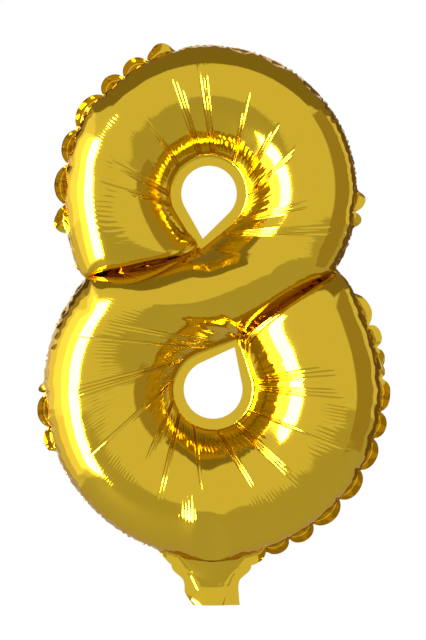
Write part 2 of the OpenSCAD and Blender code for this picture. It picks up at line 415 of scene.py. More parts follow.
    def weld(self):
        """Closes the welds: both panels meet off the loose film, and stations meet their columns."""
        x, h0, h1, cl, e = self.x, self.h0, self.h1, self.cl, self.e
        middle = 0.5 * (x[:, 0] + x[:, 1])
        for p in (0, 1):
            x[:, p][:, self.sealed] = middle[:, self.sealed]
        for row, col in ((0, cl), (-1, e)):
            slant = x[:, :, h0:h1 + 1, col]
            both = 0.5 * (x[:, :, row, cl:e + 1] + slant[:, :, ::2])
            x[:, :, row, cl:e + 1] = both
            slant[:, :, ::2] = both
            slant[:, :, 1::2] = 0.5 * (slant[:, :, :-1:2] + slant[:, :, 2::2])
        for ra, ca, rb, cb in self.corners():
            both = 0.5 * (x[:, :, ra, ca] + x[:, :, rb, cb])
            x[:, :, ra, ca] = both
            x[:, :, rb, cb] = both
        x[:, :, h0 + 1:h1, :cl] = x[:, :, h0 + 1:h1, cl:cl + 1]
        x[:, :, h0 + 1:h1, e + 1:] = x[:, :, h0 + 1:h1, e:e + 1]

    def corners(self):
        """The four stretches of seam where the stroke's end rows meet the slant's end rows."""
        cl, e, last = self.cl, self.e, self.rows - 1
        return ((0, slice(0, cl + 1), self.h0, slice(0, cl + 1)),
                (0, slice(e, e + cl + 1), self.h1, slice(cl, None, -1)),
                (last, slice(0, cl + 1), self.h0, slice(e + cl, e - 1, -1)),
                (last, slice(e, e + cl + 1), self.h1, slice(e, e + cl + 1)))

    def hold(self, strength, scallop):
        """Leads the seams to the inflated outline, and keeps the eyes' welded rings flat and
        the neck's spout open where they belong."""
        x, cl, e = self.x, self.cl, self.e
        for c, cols in ((cl, slice(0, cl + 1)), (e, slice(e, e + cl + 1))):
            goal = self.aim[:, c] + scallop[c]
            d = np.stack([goal[:, 0] - x[0, 0, :, c], -x[1, 0, :, c], goal[:, 1] - x[2, 0, :, c]])
            x[:, :, :, cols] += (strength * d)[:, None, :, None].astype(F32)
        for rows, cols in ((slice(0, self.h0 + 1), slice(0, cl + 1)),
                           (slice(self.h1, self.rows), slice(e, e + cl + 1)),
                           (slice(self.neck[0], self.neck[-1] + 1), slice(0, cl + 1))):
            spot = self.aim[rows, cols]
            x[0, :, rows, cols] = spot[..., 0]
            x[1, :, rows, cols] = 0
            x[2, :, rows, cols] = spot[..., 1]
        # the last of the three was the neck
        rise = spout(spot[..., 0], spot[..., 1])
        x[1, 0, rows, cols] = -rise
        x[1, 1, rows, cols] = rise

    def gathers(self, props):
        """Where the rim's seam is gathered: offsets that draw it inwards at notches a pitch
        apart, deeper where the rim lies loose, and each point's place in its lobe, which is 0
        at a notch and 1 midway between two."""
        rng = np.random.default_rng(31)
        offset = {c: np.zeros((self.rows, 2)) for c in (self.cl, self.e)}
        self.lobe = {}
        rims = (self.e, 0, self.h0 + 1), (self.cl, self.h1, self.rows)
        for ring, (c, low, high) in enumerate(rims):
            seam = self.aim[low:high, c].astype(float)
            arm = seam - self.aim_centre[ring]
            angle = np.degrees(np.arctan2(arm[:, 1], arm[:, 0]))
            run = run_along(seam.T)
            loose = np.full(len(run), 0.22)
            for middle, width, strength in LOOSE_RIM[ring]:
                off = np.abs((angle - middle + 180) % 360 - 180)
                loose = np.maximum(loose, strength * bell(off, width, 4))
            pitch = (props.upper_pitch, props.lower_pitch)[ring] * MM
            at = np.concatenate([[0], np.cumsum(pitch * rng.uniform(0.7, 1.25, 80))])
            at = at[at < run[-1] + 0.5 * pitch]
            at *= run[-1] / at[-1]
            size = rng.uniform(0.6, 1.1, 81)[:len(at)]
            k = np.clip(np.searchsorted(at, run, side="right"), 1, len(at) - 1)
            place = (run - at[k - 1]) / (at[k] - at[k - 1])
            near = np.minimum(run - at[k - 1], at[k] - run)
            big = np.where(place < 0.5, size[k - 1], size[k])
            pinch = big * bell(np.maximum(near, 0), 0.2 * pitch, 1.4)
            lobe = 1 - np.abs(2 * place - 1) ** 2.4
            mouth = np.zeros(len(run))
            if ring:
                gap = np.abs(seam[:, 0]) - TAIL_HALF - NECK_MARGIN
                mouth = np.where(seam[:, 1] < self.aim_centre[1][1], np.clip(1 - gap / 12, 0, 1), 0)
            offset[c][low:high] = -arm / np.linalg.norm(arm, axis=1)[:, None] * (
                props.gather_depth * MM * pinch * loose * (1 - mouth))[:, None]
            own = rng.uniform(0.75, 1.25, 81)[k]
            self.lobe[ring] = (c, low, high, lobe, loose, mouth, own, near)
        return offset

    def petals(self, seam_width):
        """Lays the welded strip outside the rim: from the seam it goes outwards and curls round
        an arc, wide in the middle of each lobe and folded small at each gather; it is tucked
        behind the body where the rim is tight and cupped to the front where it is slack."""
        for ring in (0, 1):
            c, low, high, lobe, loose, mouth, own, _ = self.lobe[ring]
            seam = self.x[:, 0, low:high, c].astype(float)
            soft = seam.copy()
            for _ in range(6 * (self.cl // 2 + 1)):
                soft[:, 1:-1] = 0.25 * soft[:, :-2] + 0.5 * soft[:, 1:-1] + 0.25 * soft[:, 2:]
            along = np.gradient(soft, axis=1)
            out = np.stack([along[2], -along[0]]) / (np.hypot(along[0], along[2]) + 1e-9)
            arm = seam[[0, 2]] - self.aim_centre[ring][:, None]
            out *= np.sign((out * arm).sum(0))
            slack = np.clip((loose - 0.3) / 0.4, 0, 1)
            width = (seam_width * (0.3 + 0.8 * lobe * np.clip(own, 0.75, 1.1))
                     * (0.4 + 0.6 * slack))
            first = np.radians((1 - slack) * 80 - slack * 20 * own)
            last = np.radians((1 - slack) * 175 - slack * 72 * own)
            side = 1 if c == self.e else -1
            reach = back = 0
            for k in range(1, self.cl + 1):
                turn = first + (last - first) * (k - 0.5) / self.cl
                reach = reach + width / self.cl * np.cos(turn)
                back = back + width / self.cl * np.sin(turn)
                base = seam + (soft - seam) * k / self.cl
                point = np.stack([base[0] + out[0] * reach, base[1] + back,
                                  base[2] + out[1] * reach])
                flat = self.aim[low:high, c + side * k].T
                for panel, way in ((0, -1), (1, 1)):
                    rise = way * spout(flat[0], flat[1])
                    held = np.stack([flat[0], rise, flat[1]])
                    self.x[:, panel, low:high, c + side * k] = point * (1 - mouth) + held * mouth
        self.weld()

    def keep_slices(self, share):
        """Moves each row back towards the upright slice that its two seams span, by a share of
        how far it has slid along the stroke, so that slack film gathers evenly."""
        x = self.x
        (at_x, at_z), (way_x, way_z) = self.slice_at, self.slice_way
        slid = (x[0] - at_x) * way_x + (x[2] - at_z) * way_z
        slid *= F32(share) * self.slice_hold
        x[0] -= slid * way_x
        x[2] -= slid * way_z

    def run(self, scallop, steps, gas, drag, outline, slices, mirrored=False, gas_end=None):
        """Blows the film up: gas is the push of each step in mm, going to gas_end; drag is the
        share of its speed that the film keeps, outline how hard the seams are led to theirs,
        and slices the share of keep_slices."""
        x = self.x
        for step in range(steps):
            push = gas if gas_end is None else gas + (gas_end - gas) * step / steps
            if step % 2 == 0:
                normal = self.normals() * self.load
            before = x.copy()
            x += self.v * drag
            x += normal * F32(push)
            self.pull_back()
            self.keep_slices(slices)
            self.hold(outline, scallop)
            if mirrored:
                half = np.maximum(0.5 * (x[1, 1] - x[1, 0]), 0) * self.loose
                x[0::2] = 0.5 * (x[0::2, :1] + x[0::2, 1:])
                x[1, 0], x[1, 1] = -half, half
            else:
                crossed = (x[1, 0] > x[1, 1]) & self.loose
                level = 0.5 * (x[1, 0] + x[1, 1])
                x[1, 0][crossed] = level[crossed]
                x[1, 1][crossed] = level[crossed]
                x[1] -= 0.02 * level
            self.weld()
            self.v = x - before

    def refined(self, flat, aim, seed):
        """The same film on a grid twice as fine, its new points halfway, with a trace of noise."""
        fine = Film(flat, aim, tuple(2 * n for n in self.counts))
        x, y = self.x, fine.x
        y[:, :, ::2, ::2] = x
        y[:, :, 1::2, ::2] = 0.5 * (x[:, :, 1:] + x[:, :, :-1])
        y[:, :, :, 1::2] = 0.5 * (y[:, :, :, 2::2] + y[:, :, :, :-2:2])
        y += np.random.default_rng(seed).normal(0, 0.04, y.shape).astype(F32) * fine.loose
        fine.aim_centre = self.aim_centre
        return fine


def inflate(props):
    """Blows the film up in three grids, each twice as fine as the last; returns the Film."""
    seam = props.seam * MM
    upper_r = UPPER_EYE_R + seam + props.upper_stroke * MM + seam
    lower_r = LOWER_EYE_R + seam + props.lower_stroke * MM + seam
    flat = Cut(UPPER_EYE + [0, props.eye_draw * MM], upper_r, LOWER_EYE, lower_r, props)
    aim = Cut(UPPER_EYE, UPPER_R, LOWER_EYE, LOWER_R, props)
    film = Film(flat, aim, COARSE)
    film.aim_centre = aim.c
    rise = -PANEL_LOW[1]
    shape = np.sin(np.pi * np.clip((np.arange(film.wide) - film.cl) / COARSE[4], 0, 1))
    stations = [0, 6, film.h0, film.h1, film.rows - 7, film.rows - 1]
    along = np.interp(np.arange(film.rows), stations,
                      [0, 0.85 * rise, 0.85 * rise, rise, rise, 0])
    film.x[0::2] = np.moveaxis(film.aim, -1, 0)[:, None]
    film.x[1, 0] = -along[:, None] * shape
    film.x[1, 1] = -film.x[1, 0]
    still = {film.cl: 0, film.e: 0}
    film.links(inner=0.03, outer=0.05, reach=30, strip_span=(2,))
    film.run(still, steps=400, gas=0.1, drag=0.95, outline=0.1, slices=0.5, mirrored=True)
    film = film.refined(flat, aim, 5)
    film.links(inner=0.006, outer=0.9, reach=16, strip_span=(2,))
    scallop = film.gathers(props)
    film.run(scallop, steps=220, gas=0.08, drag=0.95, outline=0.25, slices=0.06)
    film.run(scallop, steps=100, gas=0.08, drag=0.9, outline=0.25, slices=0.04, gas_end=0.04)
    film = film.refined(flat, aim, 7)
    film.links(inner=0.004, outer=1.0, reach=16, strip_span=(2, 4))
    scallop = film.gathers(props)
    film.run(scallop, steps=180, gas=0.04, drag=0.95, outline=0.2, slices=0.02)
    film.run(scallop, steps=140, gas=0.04, drag=0.9, outline=0.2, slices=0.02, gas_end=0.015)
    return film


# ---------------------------------------------------------------- creases

def bundle(film, lift, rows, edge, count, rng, span=(0.5, 0.74)):
    """Long creases that start at a seam and run out across the stroke, alone or in bundles of
    two or three: each is a narrow groove with a ridge beside it, and fades out at its own length.
    rows is the stretch of the stroke, and edge the column of the seam it starts from."""
    low, high = rows
    row = np.arange(film.rows)[:, None]
    run = film.share_from(edge)
    step = film.row_step()
    at = low + (np.arange(count) + rng.uniform(0.1, 0.9, count)) * (high - low) / count
    for where in at:
        end = rng.uniform(*span)
        lean = rng.uniform(-5, 5)
        for panel in (0, 1):
            where_now = where + panel * rng.uniform(-4, 4)
            for line in range(rng.choice([1, 2, 2, 3])):
                apart = (line - 0.7) * (0.9 + rng.uniform(1.2, 3.4) * run)
                off = (row - where_now) * step - lean * run - apart
                stop = end * rng.uniform(0.72, 1.1)
                tail_off = np.clip((stop - run) / (0.5 * stop), 0, 1) ** 0.5
                fade = np.clip(run / 0.05, 0, 1) * tail_off
                width = 0.42 + 0.25 * run
                fold = -bell(off, width) + 0.35 * bell(off - 1.7 * width, width)
                lift[panel] += rng.uniform(0.7, 1.2) * fold * fade


def uneven_folds(line, pitch, steps, sizes, far, reaches, rng):
    """Sharp-crested folds side by side along a line: each point's height in its fold, that
    fold's size and how far it reaches. steps, sizes and reaches are spans to draw from."""
    run = run_along(line)
    gaps = pitch * rng.uniform(*steps, int(2 * run[-1] / pitch) + 4)
    knots = np.concatenate([[0], np.cumsum(gaps)])
    phase = np.interp(run, knots, np.arange(len(knots)))
    fold = phase.astype(int)
    own = rng.uniform(*sizes, len(knots) + 1)[fold]
    reach = far * rng.uniform(*reaches, len(knots) + 1)[fold]
    return np.abs(np.sin(np.pi * phase)), own, reach


def pleats(film, lift, rows, edge, pitch, near, far, depth, rng):
    """Short folds side by side along a seam, as gathered film has where it turns off the wall
    of the stroke: a sharp-crested wave along the seam, its pitch and reach uneven."""
    low, high = rows
    for panel in (0, 1):
        seam = film.x[:, panel, low:high, edge].astype(float)
        wave, own, reach = uneven_folds(seam, pitch, (0.6, 1.5), (0.25, 1.0),
                                        far, (0.65, 1.25), rng)
        run_out = film.mm_from(edge)[low:high]
        rise = np.clip((run_out - 0.3 * near) / (0.7 * near), 0, 1)
        fall = np.clip((reach[:, None] - run_out) / (0.5 * (far - near)), 0, 1)
        lift[panel, low:high] += depth * (wave * own)[:, None] * rise * fall


def end_pleats(film, lift, pitch, far, depth, rng):
    """The same folds at the stroke's two ends, where it is welded along the slant: they stand
    side by side along the weld and run out along the stroke."""
    cl, e = film.cl, film.e
    for end, near_rows in ((0, slice(0, 50)), (-1, slice(film.rows - 50, film.rows))):
        for panel in (0, 1):
            weld = film.x[:, panel, end, cl:e + 1].astype(float)
            wave, own, reach = uneven_folds(weld, pitch, (0.7, 1.4), (0.3, 1.0),
                                            far, (0.6, 1.3), rng)
            flat = film.flat[:, cl:e + 1]
            out = np.linalg.norm(flat[near_rows] - flat[end][None], axis=-1)
            fall = np.clip(out / 2, 0, 1) * np.clip((reach - out) / (0.6 * far), 0, 1)
            lift[panel, near_rows, cl:e + 1] += depth * wave * own * fall


def ripples(film, lift, rows, edge, middle, half, count, rng):
    """Patches of fine parallel ripples part of the way across the stroke."""
    low, high = rows
    row = np.arange(film.rows)[:, None]
    run = film.share_from(edge)
    step = film.row_step()
    for _ in range(count):
        where = rng.uniform(low, high)
        size = rng.uniform(7, 16)
        centre = middle + rng.uniform(-0.05, 0.05)
        reach = half * rng.uniform(0.6, 1.3)
        tilt = rng.uniform(-0.35, 0.35)
        off = (row - where) * step
        patch = np.exp(-(off / size) ** 4 - ((run - centre - 0.004 * off * tilt) / reach) ** 4)
        wave = np.sin(2 * np.pi * (off / rng.uniform(2.1, 2.9)) + 1.5 * np.sin(off * 0.31))
        lift[rng.integers(0, 2)] += rng.uniform(0.05, 0.11) * wave * patch


def dashes(film, lift, rows, edge, middle, count, rng):
    """Rows of short sharp pinches past the middle of the stroke: five to eight side by side,
    2.4 mm apart and 3 mm long, deepest in the middle of each row."""
    low, high = rows
    row = np.arange(film.rows)[:, None]
    run = film.share_from(edge)
    wide = film.mm_from(edge).max()
    step = film.row_step()
    for _ in range(count):
        off = (row - rng.uniform(low, high)) * step
        half = rng.uniform(6, 9)
        centre = middle + rng.uniform(-0.04, 0.05) + 0.003 * rng.uniform(-1, 1) * off
        along = np.clip(1 - (off / half) ** 2, 0, 1)
        out = np.exp(-((run - centre) * wide / 1.9) ** 4)
        lift[rng.integers(0, 2)] -= 0.22 * np.sin(np.pi * off / 2.4) ** 4 * along * out


def facets(film, lift):
    """Flattens the film beside the rim's seam into a lens between each two gathers: inside the
    lens its height falls by d (w - d) / 2r, which turns the rounded profile of radius r into a
    chord, d being the distance from the seam and w the lens's width. At each gather a pinched
    groove runs 10 mm inwards."""
    for ring in (0, 1):
        _, low, high, lobe, _, mouth, own, near = film.lobe[ring]
        wide = 12.5 * lobe * np.clip(own, 0.8, 1.2) * (1 - mouth)
        d = film.rim[low:high]
        lift[:, low:high] -= np.clip(wide[:, None] - d, 0, None) * d / 28
        groove = bell(near, 0.9) - 0.5 * bell(near - 1.8, 0.9)
        fade = np.clip(1 - d / (10 * own[:, None]), 0, 1) * np.clip(d / 1.5, 0, 1)
        lift[:, low:high] -= 0.9 * (groove * (1 - mouth))[:, None] * fade


def soothe(film, passes):
    """Draws the middle of the stroke smooth along its length, as taut film is, and leaves the
    puckers near the rim: each point goes to the mean of its neighbours, weighted 1 2 1."""
    t = film.across()
    share = np.clip((0.86 - t) / 0.2, 0, 1) * np.clip(t / 0.03, 0, 1) * film.loose
    share[:3] = share[-3:] = 0
    share = share[1:-1].astype(F32)
    for _ in range(passes):
        x = film.x
        x[:, :, 1:-1] += share * (0.25 * x[:, :, :-2] - 0.5 * x[:, :, 1:-1] + 0.25 * x[:, :, 2:])


def tighten(film, reach, pull):
    """Draws the film beside the two slant welds in towards them, as full tubes press together
    there: a distance d from the weld, under reach, shrinks to d (1 - pull (1 - d / reach)^2),
    less so near each weld's ends."""
    for row in (0, -1):
        a, b = film.aim[row, film.cl].astype(float), film.aim[row, film.e].astype(float)
        along = (b - a) / np.linalg.norm(b - a)
        dx, dz = film.x[0] - a[0], film.x[2] - a[1]
        k = (dx * along[0] + dz * along[1]) / np.linalg.norm(b - a)
        off = dz * along[0] - dx * along[1]
        keep = np.clip((k + 0.02) / 0.15, 0, 1) * np.clip((1.02 - k) / 0.05, 0, 1) * film.loose
        shrink = off * pull * np.clip(1 - np.abs(off) / reach, 0, 1) ** 2 * keep
        film.x[0] += (shrink * along[1]).astype(F32)
        film.x[2] -= (shrink * along[0]).astype(F32)


def draw_neck(film):
    """Draws the body's underside down into the spout: over the neck the depth keeps below a
    cone that opens upwards from the spout by 1 mm for each mm and widens with the square of the
    distance to either side; depth and cone are joined by a minimum rounded over soft mm."""
    soft = 1.5
    x, z = film.x[0], film.x[2]
    cone = 11.4 + 1.0 * (z - 8.5) + 0.05 * x * x
    close = film.loose & (z < 60) & (np.abs(x) < 40)
    for panel, side in ((0, -1), (1, 1)):
        depth = side * film.x[1, panel]
        apart = np.abs(depth - cone[panel])
        low = np.minimum(depth, cone[panel]) - soft * np.log1p(np.exp(-apart / soft))
        film.x[1, panel] = side * np.where(close[panel], low, depth)


def crease(film, props):
    """Presses the creases, pleats and ripples into the panels along their normals."""
    rng = np.random.default_rng(props.seed)
    lift = np.zeros((2,) + film.x[0, 0].shape)
    hook, slant, loop = (3, film.h0), (film.h0, film.h1 + 1), (film.h1, film.rows - 3)
    eyes = (hook, film.cl), (loop, film.e)
    welds = (slant, film.cl), (slant, film.e)
    for (rows, edge), count in zip(eyes, (props.upper_creases, props.lower_creases)):
        bundle(film, lift, rows, edge, count, rng)
    for rows, edge in welds:
        bundle(film, lift, rows, edge, 3, rng, span=(0.2, 0.35))
    for (rows, edge), far in zip(eyes, (25, 26)):
        pleats(film, lift, rows, edge, pitch=2.1, near=15, far=far, depth=0.3, rng=rng)
    for rows, edge in welds:
        pleats(film, lift, rows, edge, pitch=5.0, near=2, far=14, depth=1.7, rng=rng)
    end_pleats(film, lift, pitch=5.4, far=13, depth=1.6, rng=rng)
    for (rows, edge), count in zip(eyes, (16, 18)):
        ripples(film, lift, rows, edge, middle=0.55, half=0.07, count=count, rng=rng)
    for (rows, edge), middle, count in zip(eyes, (0.58, 0.56), (9, 10)):
        dashes(film, lift, rows, edge, middle, count, rng)
    facets(film, lift)
    normal = film.normals()
    film.x += normal * (np.clip(lift, -2.0, 1.7) * film.loose).astype(F32)


# ---------------------------------------------------------------- meshes

def mesh_object(name, points, faces, uv=None, smooth=True):
    """Mesh from points in mm and index faces, its UV map in whole arrays."""
    mesh = bpy.data.meshes.new(name)
    mesh.from_pydata((points / MM).tolist(), [], faces)
    if uv is not None:
        layer = mesh.uv_layers.new(name="film")
        corner = np.empty(len(mesh.loops), np.int32)
        mesh.loops.foreach_get("vertex_index", corner)
        layer.data.foreach_set("uv", uv[corner].astype(F32).ravel())
    mesh.polygons.foreach_set("use_smooth", np.full(len(mesh.polygons), smooth))
    mesh.update()
    obj = bpy.data.objects.new(name, mesh)
    bpy.context.scene.collection.objects.link(obj)
    return obj


def grid_quads(index):
    """Corners of each cell of a grid of point numbers, along the first row and back."""
    corners = index[:-1, :-1], index[:-1, 1:], index[1:, 1:], index[1:, :-1]
    return np.stack(corners, -1).reshape(-1, 4)


def panel_mesh(film, panel, name):
    """One panel: the film's cells with welded points merged, and the tail's leaf carried on
    below the neck from the edge of its seam."""
    rows, wide = film.rows, film.wide
    index = np.arange(rows * wide).reshape(rows, wide)
    index[film.h0:film.h1 + 1:2, film.cl] = index[0, film.cl:film.e + 1]
    index[film.h0:film.h1 + 1:2, film.e] = index[-1, film.cl:film.e + 1]
    for ra, ca, rb, cb in film.corners():
        index[rb, cb] = index[ra, ca]
    i, j = np.nonzero(film.cell)
    quads = np.stack([index[i, j], index[i, j + 1], index[i + 1, j + 1], index[i + 1, j]], 1)
    # the cells along the two welds take in the slant's odd points, so they have five corners
    fives = []
    odd_l = index[film.h0 + 1:film.h1:2, film.cl]
    odd_r = index[film.h0 + 1:film.h1:2, film.e]
    for k, c in enumerate(range(film.cl, film.e)):
        fives.append((index[0, c], odd_l[k], index[0, c + 1], index[1, c + 1], index[1, c]))
        fives.append((index[-2, c], index[-2, c + 1], index[-1, c + 1], odd_r[k], index[-1, c]))
    quads = quads[(i > 0) & (i < rows - 2) | (j < film.cl) | (j >= film.e)]
    points = np.moveaxis(film.x[:, panel], 0, -1).reshape(-1, 3).astype(float)
    t = film.across()
    along = np.arange(rows)[:, None] * (FINEST_ROWS / (rows - 1))
    uv = np.stack([np.broadcast_to(along, t.shape), t], -1).reshape(-1, 2)
    # the leaf hangs from the outer edge of the seam at the neck
    top = index[film.neck, 0]
    tail, tail_uv = leaf_shape(points[top], -1 if panel == 0 else 1)
    n = len(points)
    down, width = tail.shape[:2]
    low = n + np.arange(down * width).reshape(down, width)
    low = np.concatenate([top[None], low])
    tail_quads = grid_quads(low)
    points = np.concatenate([points, tail.reshape(-1, 3)])
    uv = np.concatenate([uv, tail_uv.reshape(-1, 2)])
    faces = quads.tolist() + [list(map(int, f)) for f in fives] + tail_quads.tolist()
    if panel == 0:
        faces = [f[::-1] for f in faces]
    used = np.zeros(len(points), bool)
    for corners in (quads, tail_quads, np.array(fives, int)):
        used[corners.ravel()] = True
    place = np.cumsum(used) - 1
    faces = [[int(place[v]) for v in f] for f in faces]
    return mesh_object(name, points[used], faces, uv[used])


def tail_sides(z):
    """Left and right edges of the tail at height z: wide where it leaves the body, straight
    along the right, and drawn in and curled at the lower left corner."""
    down = np.clip(-z / -TAIL_LOW[2], 0, 1)
    flare = np.clip((z + 9) / 12, 0, 1) ** 2
    left = -TAIL_HALF + 5.6 * np.clip((down - 0.56) / 0.44, 0, 1) ** 1.25 - 5.5 * flare
    right = TAIL_HALF + 0.8 * np.clip((down - 0.5) / 0.5, 0, 1) + 5.5 * flare
    return left, right


def leaf_shape(top, side):
    """Leaf of the tail below the neck. Across it runs between the tail's two edges; its height
    off the fold plane passes from the spout above to a mouth that gapes at its lower end, with
    a tuck where the spout ends, a fold down the right and creases beside the spout's foot."""
    down = 34
    t = np.linspace(0, 1, down + 1)[1:, None]
    u = (top[None, :, 0] - top[0, 0]) / (top[-1, 0] - top[0, 0])
    z = top[None, :, 2] + (TAIL_LOW[2] + 0.2 - top[None, :, 2]) * t
    left, right = tail_sides(z)
    settle = np.clip(t * 2.6, 0, 1)
    settle = settle * settle * (3 - 2 * settle)
    x = top[None, :, 0] + (left + (right - left) * u - top[None, :, 0]) * settle
    below = np.clip(-z / -TAIL_LOW[2], 0, 1)
    gape = (-TAIL_LOW[1] - 0.2) * below ** 2 * np.clip(1 - (x / (LIP_HIGH[0] + 0.3)) ** 2, 0, 1)
    # creases run down and inwards from where the strips meet the spout
    foot = np.abs(x) - 11 - 0.45 * (z + 4)
    crumple = 0.45 * bell(foot, 0.9) - 0.35 * bell(foot - 1.9 - 0.1 * z, 0.8)
    crumple += 0.3 * bell(foot + 2.6 + 0.2 * x, 0.7)
    strip = bell(z + 6, 5, 4)
    tuck = -0.45 * bell(z + 9.2 - 0.012 * x * x, 0.7) * np.clip(1 - np.abs(x) / 11, 0, 1) ** 0.5
    curl = 1.4 * np.clip((below - 0.62) / 0.38, 0, 1) ** 2 * np.clip((left + 5 - x) / 5, 0, 1) ** 2
    fold = 0.5 * bell(x - 9.5 - 0.35 * (z + 10), 0.8) * np.clip(-(z + 3) / 3, 0, 1)
    crumple = strip * crumple * np.clip(t * 4, 0, 1)
    y = side * (0.02 + spout(x, z) + gape + tuck + crumple + fold) + curl
    y = side * np.maximum(side * y, 0.2 - 1.2 * (curl > 0.05))
    uv = np.stack([np.broadcast_to(x * 1.4, z.shape), 1.2 - z * 0.01], -1)
    return np.stack([x, y, z], -1), uv


def length(name, description, default):
    """A property that holds a length in metres."""
    return FloatProperty(name=name, description=description, default=default, unit="LENGTH")


def colour(name, description, tone):
    """A property that holds a colour, its default an sRGB hex tone."""
    return FloatVectorProperty(name=name, description=description, subtype="COLOR", size=4,
                               min=0, max=1, default=linear(tone))


class BALLOON_props(PropertyGroup):
    """Sizes and colours of the balloon."""
    seam: length("Seam width", "Width of the welded edge", 0.0065)
    upper_stroke: length("Upper stroke", "Flat width of the upper ring's stroke, seam to seam",
                         0.090)
    lower_stroke: length("Lower stroke", "Flat width of the lower ring's stroke, seam to seam",
                         0.104)
    eye_draw: length("Eye draw", "How far the eyes move together on inflation", 0.017)
    tip_reach: length("Tip reach", "How far each hole's point reaches", 0.011)
    upper_tip: FloatProperty(name="Upper tip", default=262,
                             description="Direction of the upper hole's point, degrees")
    lower_tip: FloatProperty(name="Lower tip", default=63,
                             description="Direction of the lower hole's point, degrees")
    upper_pitch: length("Upper gathers", "Distance between gathers round the upper rim", 0.0245)
    lower_pitch: length("Lower gathers", "Distance between gathers round the lower rim", 0.0185)
    gather_depth: length("Gather depth", "How far a gather draws the rim in", 0.0048)
    upper_creases: IntProperty(name="Upper creases", default=11,
                               description="Bundles of creases round the upper eye")
    lower_creases: IntProperty(name="Lower creases", default=13,
                               description="Bundles of creases round the lower eye")
    seed: IntProperty(name="Seed", description="Choice of crease places", default=8)
    gold: colour("Gold", "Colour of the lacquered film", "#CDAB1C")
    film: colour("Valve film", "Colour of the valve film", "#E9E7DF")
    distance: length("Camera distance", "From the figure's middle to the camera", 2.6)


def scaled(tree, socket, factor):
    """A socket's value times a factor."""
    settings = {"operation": "MULTIPLY", 1: factor}
    return add_node(tree, "ShaderNodeMath", settings, {0: socket}).outputs[0]


def foil_material(props):
    """Aluminium vapour-coated nylon film under clear yellow lacquer: a mirror tinted gold,
    with ripples finer than its creases and faint unevenness in the lacquer."""
    material, tree, shader = new_material("gold_metallised_film")
    shader.inputs["Base Color"].default_value = props.gold
    shader.inputs["Metallic"].default_value = 1.0
    uv = add_node(tree, "ShaderNodeUVMap", {"uv_map": "film"})
    split = add_node(tree, "ShaderNodeSeparateXYZ", links={0: uv.outputs[0]})
    # ripples: streaks across the stroke, 2 to 3 mm apart, in a band past the middle
    streak = add_node(tree, "ShaderNodeCombineXYZ", links={
        0: scaled(tree, split.outputs[0], 0.42), 1: scaled(tree, split.outputs[1], 7.0)})
    ripple = add_node(tree, "ShaderNodeTexNoise", {"Scale": 1.0, "Detail": 2.0, "Roughness": 0.5},
                      {"Vector": streak.outputs[0]})
    band = add_node(tree, "ShaderNodeValToRGB", links={0: split.outputs[1]})
    ramp = band.color_ramp
    ramp.elements[0].position, ramp.elements[0].color = 0.0, (0.15, 0.15, 0.15, 1)
    ramp.elements[1].position, ramp.elements[1].color = 0.86, (0.0, 0.0, 0.0, 1)
    for share, value in RIPPLE_BAND:
        ramp.elements.new(share).color = (value, value, value, 1)
    amount = add_node(tree, "ShaderNodeMath", {"operation": "MULTIPLY"},
                      {0: ripple.outputs["Fac"], 1: band.outputs["Color"]})
    bump = add_node(tree, "ShaderNodeBump", {"Strength": 0.5, "Distance": 0.0006},
                    {"Height": amount.outputs[0]})
    place = add_node(tree, "ShaderNodeTexCoord")
    haze = add_node(tree, "ShaderNodeTexNoise", {"Scale": 60.0, "Detail": 3.0},
                    {"Vector": place.outputs["Object"]})
    rough = add_node(tree, "ShaderNodeMapRange", {"To Min": 0.05, "To Max": 0.12},
                     {"Value": haze.outputs["Fac"]})
    tree.links.new(rough.outputs[0], shader.inputs["Roughness"])
    tree.links.new(bump.outputs[0], shader.inputs["Normal"])
    shader.inputs["Specular Tint"].default_value = linear("#E8C878")
    shader.inputs["Coat Weight"].default_value = 0.4
    shader.inputs["Coat Roughness"].default_value = 0.03
    return material


def valve_material(props):
    """Low-density polyethylene film: milky, slightly see-through, with soft rolling waves."""
    material, tree, shader = new_material("milky_polyethylene_film")
    place = add_node(tree, "ShaderNodeTexCoord")
    wave = add_node(tree, "ShaderNodeTexNoise", {"Scale": 180.0, "Detail": 2.0},
                    {"Vector": place.outputs["Object"]})
    tint = add_node(tree, "ShaderNodeMix", {"data_type": "RGBA", 6: props.film, 7: linear("#D6D3C8")},
                    {0: wave.outputs["Fac"]})
    bump = add_node(tree, "ShaderNodeBump", {"Strength": 0.25, "Distance": 0.0003},
                    {"Height": wave.outputs["Fac"]})
    tree.links.new(tint.outputs[2], shader.inputs["Base Color"])
    tree.links.new(bump.outputs[0], shader.inputs["Normal"])
    shader.inputs["Roughness"].default_value = 0.32
    shader.inputs["Transmission Weight"].default_value = 0.35
    shader.inputs["IOR"].default_value = 1.51
    return material


def spout(x, z):
    """Half height of the neck and the tail: a rounded spout, wide and high where it leaves the
    body and drawn in and flat below the fold line, between flat welded strips."""
    wide = 9.0 + 0.13 * np.clip(z + 9, 0, 20) ** 1.5
    high = 0.3 + 0.1 * np.clip(z + 9, 0, 20) ** 1.6
    return 0.3 + high * np.clip(1 - (x / wide) ** 2, 0, 1) ** 1.3


class BALLOON_OT_panels(Operator):
    """Inflates the film and builds the front and back panels with their tail leaves"""
    bl_idname = "balloon.panels"
    bl_label = "Foil panels"

    def execute(self, context):
        props = context.scene.balloon
        film = inflate(props)
        film.petals(props.seam * MM)
        soothe(film, passes=14)
        draw_neck(film)
        tighten(film, reach=24, pull=0.9)
        crease(film, props)
        film.x[1, 0] -= PANEL_GAP
        film.x[1, 1] += PANEL_GAP
        material = foil_material(props)
        for panel, side in enumerate(("front", "back")):
            piece = panel_mesh(film, panel, f"{side}_foil")
            piece.data.materials.append(material)
            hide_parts(f"{side}_panel", f"tail_{side}_leaf")
            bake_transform(piece)
        return {"FINISHED"}


